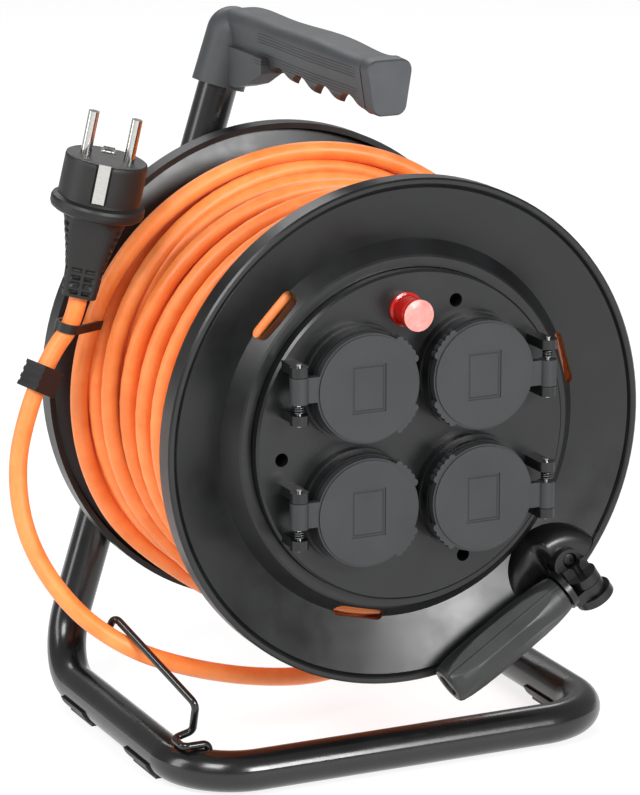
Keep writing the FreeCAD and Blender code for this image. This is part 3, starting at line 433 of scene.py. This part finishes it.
# %% Crank grip and housing
HINGE = np.array([81, -11.2, -72.5])
FOLD_TURN = math.radians(147)
ALONG = np.array([math.cos(FOLD_TURN), 0, -math.sin(FOLD_TURN)])
FOLD_AXIS = np.array([math.sin(FOLD_TURN), 0, math.cos(FOLD_TURN)])
OUT = np.array([0.0, 1.0, 0.0])
# The grip's place along the fold's axis, how far from its line the flats lie and which way they
# face, the line left in the middle of each, and the most that the grip reaches in front or behind.
GRIP_SIDE, FLAT_AT, FLAT_TURNS, SEAM_HIGH, HALF_DEPTH = -2.3, 9.35, (-140, -50, 40, 130), 0.12, 10.3


def crank_spot(along, out, side):
    """Crank frame to drum frame: along the folded grip, the drum's Y and the fold's axis."""
    return HINGE + along[..., None] * ALONG + out[..., None] * OUT + side[..., None] * FOLD_AXIS


def grip_grid():
    """Outside, end bevel, end well and bore as one loop, revolved. The radius is then the least of
    itself, each flat's distance over the cosine from it, and half the depth over the sine."""
    outside = [(12.7, 7.8), (13.3, 8.6), (16, 9.2), (22, 10.0), (30, 10.6), (42, 10.85), (54, 10.85),
               (64, 10.6), (72, 9.9), (76.4, 9.2), (77.6, 8.6), (77.95, 8.0)]
    inside = [(78, 5.6), (77.4, 5.2), (75.1, 5.2), (75, 3.3), (74, 3.3), (14, 3.3), (12.8, 3.3),
              (12.6, 4.0)]
    chain = np.vstack([trace(outside, 90), trace(inside, 30)])
    turn = np.linspace(0, 2 * np.pi, 144, endpoint=False)[None, :]
    radius = np.repeat(chain[:, 1:2], turn.size, axis=1)
    for flat in FLAT_TURNS:
        off = np.cos(turn - math.radians(flat))
        radius = np.minimum(radius, np.where(off > 0.3, FLAT_AT / np.maximum(off, 0.3), 99))
        seam = np.exp(-((turn - math.radians(flat) + np.pi) % (2 * np.pi) - np.pi) ** 2 / 0.0006)
        radius = radius + SEAM_HIGH * seam * (radius > 7)
    radius = np.minimum(radius, HALF_DEPTH / np.maximum(np.abs(np.sin(turn)), 0.3))
    along = np.repeat(chain[:, 0:1], turn.size, axis=1)
    return crank_spot(along, radius * np.sin(turn), GRIP_SIDE + radius * np.cos(turn))


grip = skin("crank_grip_skin", grip_grid(), crank_plastic, "crank_grip", loop=True, crease=24)
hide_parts("crank_grip")

HOUSING_AT, HOUSING_RADIUS, RIM_LIMIT = (77, -75), 24.2, 107.6
# The dome's top and foot along the drum, how far the cradle sinks, and where its slope starts and how
# long it is, from the hinge along the grip.
DOME_TOP, DOME_FOOT, CRADLE_DEEP, CRADLE_FROM, CRADLE_SLOPE = -3.4, 11.5, 5.2, 4.5, 5


def housing_grid():
    """Dome on a circle, pulled in where it would pass the drum's rim. The top is a smooth step lower
    where the folded grip lies, and falls at the edge by one minus the root of one minus the tenth
    power of the radius, which is a round shoulder."""
    share = np.concatenate([np.linspace(0.02, 0.7, 24), 1 - 0.3 * (1 - np.linspace(0, 1, 40)) ** 1.6])
    turn = np.linspace(0, 2 * np.pi, 160, endpoint=False)
    reach = HOUSING_RADIUS * share[:, None]
    across = HOUSING_AT[0] + reach * np.cos(turn)
    up = HOUSING_AT[1] + reach * np.sin(turn)
    far = np.hypot(across, up)
    pull = np.minimum(1, RIM_LIMIT / far)
    across, up = across * pull, up * pull
    toward_grip = (across - HINGE[0]) * ALONG[0] + (up - HINGE[2]) * ALONG[2]
    cradle = np.clip((toward_grip - CRADLE_FROM) / CRADLE_SLOPE, 0, 1)
    top = DOME_TOP + CRADLE_DEEP * (3 * cradle ** 2 - 2 * cradle ** 3)
    shoulder = 1 - (1 - share[:, None] ** 10) ** (1 / 2)
    return np.stack([across, top + (DOME_FOOT - top) * shoulder, up], axis=-1)


housing = skin("crank_housing", housing_grid(), gloss_plastic, "drum", crease=60)
SCREW_ALONG, SCREW_SIDE = -0.2, -9.4


def screw_grid():
    """Domed screw head with a round socket, sunk in the boss: a turned profile."""
    chain = trace([(0.05, 4.9), (1.0, 4.9), (1.05, 4.2), (1.9, 4.25), (2.8, 4.5), (3.25, 5.1),
                   (3.25, 10.9), (0.05, 10.9)], 60)
    turn = np.linspace(0, 2 * np.pi, 64, endpoint=False)[None, :]
    radius, out = chain[:, 0:1] + 0 * turn, chain[:, 1:2] + 0 * turn
    return crank_spot(SCREW_ALONG + radius * np.cos(turn), out, SCREW_SIDE + radius * np.sin(turn))


black_zinc = plated("black zinc, crank screw", ("#2c2c2e", "#3a3a3c"), (0.25, 0.4))
crank_screw = skin("crank_screw_head", screw_grid(), black_zinc, "drum")
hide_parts("crank_screw")
print("grip and housing made:", len(grip.data.polygons) + len(housing.data.polygons), "faces")

# %% [markdown]
# ## Plug
# The plug is one rubber moulding. Its section is round at the face and nearly square at the strain
# relief, so it is a superellipse whose exponent changes along the plug. Slots between the ribs let
# the relief bend, and two grooves hold the earth strips.

# %% Plug body
PLUG_FOOT = np.array([-112.5, 100, 52])
PLUG_AXIS = np.array([11, -8, 62]) / np.linalg.norm([11, -8, 62])
PINS_ACROSS = np.array([0.907, -0.42, 0])
PINS_ACROSS = PINS_ACROSS - PLUG_AXIS * (PINS_ACROSS @ PLUG_AXIS)
PINS_ACROSS = PINS_ACROSS / np.linalg.norm(PINS_ACROSS)
PLUG_DEPTH = np.cross(PINS_ACROSS, PLUG_AXIS)
# Place along the plug, half its width across the pins and half its depth.
PLUG_LINE = [(0.0, 4.5, 4.5), (0.1, 7.6, 7.4), (3, 8.0, 7.8), (12, 8.5, 8.2), (20, 10.0, 9.4),
             (28, 11.9, 10.8), (34, 13.4, 12.2), (36.8, 14.4, 13.6), (37.9, 18.8, 18.8),
             (38.9, 20.3, 20.3), (40.2, 20.8, 20.8), (42.4, 20.8, 20.8), (43.6, 20.3, 20.3),
             (44.2, 19.2, 19.2), (44.6, 18.4, 18.4), (45.4, 18.3, 18.3), (61.9, 18.15, 18.15),
             (62.8, 17.9, 17.9), (63.15, 17.3, 17.3), (63.2, 3.0, 3.0)]
# The relief's slots: pitch, depth and half the bridge between them, where they start, and where they
# end on the narrow sides and on the broad ones. Then the earth strips' grooves.
SLOT_PITCH, SLOT_DEEP, BRIDGE_HALF = 3.4, 1.5, 0.8
SLOTS_FROM, SIDE_SLOTS_TO, FACE_SLOTS_TO = 1.7, 33.5, 15.5
GROOVE_HALF, GROOVE_FROM, GROOVE_FLOOR = 3.5, 46, 16.6


def plug_spot(across, along, depth):
    return (PLUG_FOOT + across[..., None] * PINS_ACROSS + along[..., None] * PLUG_AXIS
            + depth[..., None] * PLUG_DEPTH)


def plug_grid():
    """Superellipse sections: the radius is the sum of cosine over half width and sine over half
    depth, each to a power, to minus one over that power. Waves along the relief cut its slots."""
    chain = trace(PLUG_LINE, 230)
    along, half_x, half_z = chain[:, 0:1], chain[:, 1:2], chain[:, 2:3]
    turn = np.linspace(0, 2 * np.pi, 288, endpoint=False)[None, :]
    power = np.interp(along, (0, 30, 37), (5, 4, 2))
    cosine, sine = np.cos(turn), np.sin(turn)
    radius = ((np.abs(cosine) / half_x) ** power + (np.abs(sine) / half_z) ** power) ** (-1 / power)
    across, depth = radius * cosine, radius * sine
    wave = np.clip((np.cos(2 * np.pi * (along - 2.6) / SLOT_PITCH) + 0.15) * 3, 0, 1)
    sides = np.clip((np.abs(cosine) - 0.72) * 12, 0, 1) * ((along > SLOTS_FROM) & (along < SIDE_SLOTS_TO))
    faces = np.clip((np.abs(sine) - 0.8) * 12, 0, 1) * ((along > SLOTS_FROM) & (along < FACE_SLOTS_TO))
    sides = sides * np.clip((np.abs(depth) - BRIDGE_HALF) * 3, 0, 1)
    faces = faces * np.clip((np.abs(across) - BRIDGE_HALF) * 3, 0, 1)
    shrink = (radius - SLOT_DEEP * wave * (sides + faces)) / radius
    across, depth = across * shrink, depth * shrink
    groove = (np.abs(across) < GROOVE_HALF) & (along > GROOVE_FROM) & (np.abs(depth) > GROOVE_FLOOR)
    depth = np.where(groove, np.sign(depth) * GROOVE_FLOOR, depth)
    return plug_spot(across, along + 0 * turn, depth)


plug = skin("plug_moulding", plug_grid(), rubber, "frame", crease=32)
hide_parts("plug_body")
EARTH_DEPTH, EARTH_RADIUS = -11, 1.9


def contact_grid():
    """Thin plate round the earth hole in the plug's face: a circle inside and, outside, a
    superellipse of the eighth power, which is a rectangle with rounded corners."""
    turn = np.linspace(0, 2 * np.pi, 96, endpoint=False)[None, :]
    square = (np.abs(np.cos(turn) / 3.3) ** 8 + np.abs(np.sin(turn) / 4.3) ** 8) ** (-1 / 8)
    hole = 0 * turn + EARTH_RADIUS
    loop = [(hole, 63.0), (hole, 63.55), (hole + 0.15, 63.7), (square - 0.2, 63.7), (square, 63.55),
            (square, 63.0)]
    radius = np.vstack([item[0] for item in loop])
    along = np.array([item[1] for item in loop])[:, None] + 0 * turn
    return plug_spot(radius * np.cos(turn), along, EARTH_DEPTH + radius * np.sin(turn))


contact = skin("earth_contact_plate", contact_grid(), nickel, "frame", loop=True)


def hole_grid():
    """A black rubber disc under the earth contact's hole, the plug's own rubber, put there as painted
    shade: it looks like the deep well of the real one.
    """
    turn = np.linspace(0, 2 * np.pi, 64, endpoint=False)[None, :]
    radius = np.array([0.05, 1.85, 1.85, 0.05])[:, None] + 0 * turn
    along = np.array([63.1, 63.1, 63.3, 63.3])[:, None] + 0 * turn
    return plug_spot(radius * np.cos(turn), along, EARTH_DEPTH + radius * np.sin(turn))


# The disc's black stands in as painted shade for the depth of the earth hole.
well = skin("earth_contact_well", hole_grid(), rubber, "frame")
print("plug made:", len(plug.data.polygons), "faces")

# %% [markdown]
# ## The free lead
# A cord is one smooth line with a round section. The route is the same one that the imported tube
# follows: out of the plug's strain relief, down in a loose loop, through the wire guide, under the
# drum and most of the way round the winding. A NURBS line with few control points bends like a real
# cord.

# %% Lead
CORD_DIAMETER, STRAIGHT_END = 0.0082, 14
LOOP_ROUTE = [(-125, 102, 27), (-137, 100, 4), (-145, 98, -24), (-143.8, 88, -54.7),
              (-131.8, 67.1, -80.9), (-109.6, 54, -98.8), (-80, 56, -112), (-44, 64, -124),
              (-6, 76, -132), (33, 84, -127), (69, 89, -103)]
# The loose turn's radius, its first angle, and the step and number of its control points.
LAY_RADIUS, LAY_FIRST, LAY_STEP, LAY_COUNT = 108.6, -33, 360 / 14, 12
LAY_START, LAY_END = 92, 124


def lay_turn():
    """The loose turn: part of a circle, whose place along the drum eases from one end to the other by
    three squares less two cubes of the share done."""
    step = np.arange(LAY_COUNT)
    turn = np.radians(LAY_FIRST + LAY_STEP * step)
    part = step / (LAY_COUNT - 1)
    along = LAY_START + (LAY_END - LAY_START) * (3 * part ** 2 - 2 * part ** 3)
    return np.stack([LAY_RADIUS * np.cos(turn), along, LAY_RADIUS * np.sin(turn)], axis=1)


def cord_curve(name, points, diameter, material, body, resolution, sides):
    """One open NURBS spline with a round bevel, through control points in metres."""
    curve = bpy.data.curves.new(name, "CURVE")
    curve.dimensions = "3D"
    spline = curve.splines.new("NURBS")
    spline.points.add(len(points) - 1)
    flat = np.column_stack([points, np.ones(len(points))]).ravel()
    spline.points.foreach_set("co", flat)
    spline.order_u = 3
    spline.use_endpoint_u = True
    curve.resolution_u = resolution
    curve.bevel_depth = diameter / 2
    curve.bevel_resolution = sides
    curve.use_fill_caps = True
    curve.materials.append(material)
    piece = bpy.data.objects.new(name, curve)
    bpy.context.collection.objects.link(piece)
    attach(piece, body)
    return piece


def line_length(piece):
    """Length of the curve's own line, measured on a copy with no bevel."""
    bare = piece.data.copy()
    bare.bevel_depth = 0
    holder = bpy.data.objects.new("measure", bare)
    mesh = bpy.data.meshes.new_from_object(holder)
    spots = np.zeros(len(mesh.vertices) * 3)
    mesh.vertices.foreach_get("co", spots)
    length = np.linalg.norm(np.diff(spots.reshape(-1, 3), axis=0), axis=1).sum()
    bpy.data.objects.remove(holder)
    bpy.data.meshes.remove(mesh)
    bpy.data.curves.remove(bare)
    return float(length)


lead_route = np.vstack([PLUG_FOOT, PLUG_FOOT - PLUG_AXIS * STRAIGHT_END, LOOP_ROUTE, lay_turn()])
lead = cord_curve("lead", at_drum(lead_route[::-1]), CORD_DIAMETER, cord_sheath, "frame", 12, 5)
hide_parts("cord_lead")
lead_length = line_length(lead)
print("lead is", round(lead_length, 3), "m long")

# %% [markdown]
# ## The winding
# About nineteen metres of cord lie on the barrel. One turn lies against the front flange, where its
# slots show it. Two full layers are packed turn against turn, and they nest, so each sits in the
# hollows of the last. The third lies open, with nearly two diameters from turn to turn, and a few
# last turns are piled at the back. Hand winding is never even: the turns lean and drift together.

# %% Winding
winding_low, winding_high = (np.array(corner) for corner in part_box("cord_winding"))
CORD_INSET = 4.15
OUTER_LAYER = (winding_high[2] - winding_low[2]) / 2 / MM - CORD_INSET
FRONT_END, BACK_END = 21.4, 128.6
# Each layer's turns, its height in layers above the lowest, and where it starts and ends.
LAYERS = ((13, 0, 22, BACK_END), (12.5, 1, BACK_END, FRONT_END), (6.6, 2, 22.5, 127.5),
          (2.6, 2.72, 127, 99))
PER_TURN, LAYER_STEP = 20, 7.15
FIRST_RADIUS, FIRST_PLACE = 82.2, 17.0
# The crank's recess is at this angle and reaches this far to either side, and the first turn steps
# back behind it.
RECESS_TURN, RECESS_HALF, STEP_BACK = -44.3, 26, 5
rng = np.random.default_rng(7)


def first_turn():
    """A circle against the front flange. It steps back behind the recess by the exponential of minus
    the fourth power of the angle from it, which is a bell with a flat top."""
    turn = np.arange(PER_TURN) / PER_TURN * 360
    off = (turn - RECESS_TURN + 180) % 360 - 180
    along = FIRST_PLACE + STEP_BACK * np.exp(-(off / RECESS_HALF) ** 4)
    turn = np.radians(turn)
    return np.stack([FIRST_RADIUS * np.cos(turn), along, FIRST_RADIUS * np.sin(turn)], axis=1)


def winding_points():
    """Helix layers between two places along the drum. Two things move a turn off its place, most in
    the middle of a layer: a drift of four slow waves of random size, and a lean that repeats nearly
    once a turn, so that neighbours lean nearly alike and gaps open and close slowly."""
    rings, start = [first_turn()], 1.0
    for turns, height, begin, end in LAYERS:
        turn = np.arange(int(turns * PER_TURN)) / PER_TURN
        angle = 2 * np.pi * (start + turn)
        share = turn / turns
        edge = np.sin(np.pi * np.clip(share, 0.002, 0.998)) ** 0.7
        drift = sum(rng.uniform(0.6, 1.3) * np.sin(wave * angle / 11 + rng.uniform(0, 6.28))
                    for wave in (2, 3, 5, 7))
        lean = 3.4 * np.sin(angle * 1.05 + 0.7) + 1.5 * np.sin(angle * 2.1 + 2.0)
        along = begin + (end - begin) * share + edge * min(1, height * 0.5) * (drift + lean)
        radius = OUTER_LAYER + LAYER_STEP * (height - 2) + 0.3 * np.sin(3.1 * angle + height) - 0.3
        rings.append(np.stack([radius * np.cos(angle), np.clip(along, FRONT_END, BACK_END),
                               radius * np.sin(angle)], axis=1))
        start += turns
    return np.vstack(rings)


winding_route = winding_points()
winding = cord_curve("winding", at_drum(winding_route), CORD_DIAMETER, cord_sheath, "drum", 3, 3)
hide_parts("cord_winding")
winding_length = line_length(winding)
print("winding is", round(winding_length, 2), "m long")

# %% [markdown]
# ## Floor and light
# A plain pale floor and soft studio light: a broad key lamp high on the left, a wide one in front that
# shows the drum's face, a tall strip at the left side and a long one behind, with a pale surround
# that fills the shadows. The floor gives off light of its own, so it stays white under the reel and
# sends little of the cord's orange back.

# %% Floor and lamps
FLOOR_HALF = 6
floor_mesh = bpy.data.meshes.new("floor")
corners = [(x * FLOOR_HALF, y * FLOOR_HALF, 0) for x, y in ((-1, -1), (1, -1), (1, 1), (-1, 1))]
floor_mesh.from_pydata(corners, [], [(0, 1, 2, 3)])
floor = bpy.data.objects.new("floor", floor_mesh)
bpy.context.collection.objects.link(floor)
floor_paint, tree, shader = start_material("pale studio floor", Roughness=0.7, Emission_Strength=0.8)
shader.inputs["Base Color"].default_value = linear("#8c8c8c")
shader.inputs["Emission Color"].default_value = linear("#ffffff")
floor_mesh.materials.append(floor_paint)


def lamp(name, place, size, power):
    """A rectangular soft light that faces the middle of the drum."""
    light = bpy.data.lights.new(name, "AREA")
    light.shape, light.size, light.size_y, light.energy = "RECTANGLE", size[0], size[1], power
    holder = bpy.data.objects.new(name, light)
    bpy.context.collection.objects.link(holder)
    holder.location = place
    toward = Vector(AXIS.tolist()) - Vector(place)
    holder.rotation_euler = toward.to_track_quat("-Z", "Y").to_euler()


lamp("key", (-1.5, -1.2, 1.7), (0.9, 0.9), 34)
lamp("front", (0.43, -2.09, 0.94), (1.0, 0.5), 46)
lamp("side", (-1.9, 0.3, 0.8), (0.5, 1.4), 12)
lamp("back", (0.5, 1.6, 1.5), (1.6, 0.5), 13)
world = bpy.data.worlds.new("studio")
world.use_nodes = True
world.node_tree.nodes["Background"].inputs["Color"].default_value = linear("#ffffff")
world.node_tree.nodes["Background"].inputs["Strength"].default_value = 0.31
bpy.context.scene.world = world
bpy.context.scene.view_settings.view_transform = "Standard"
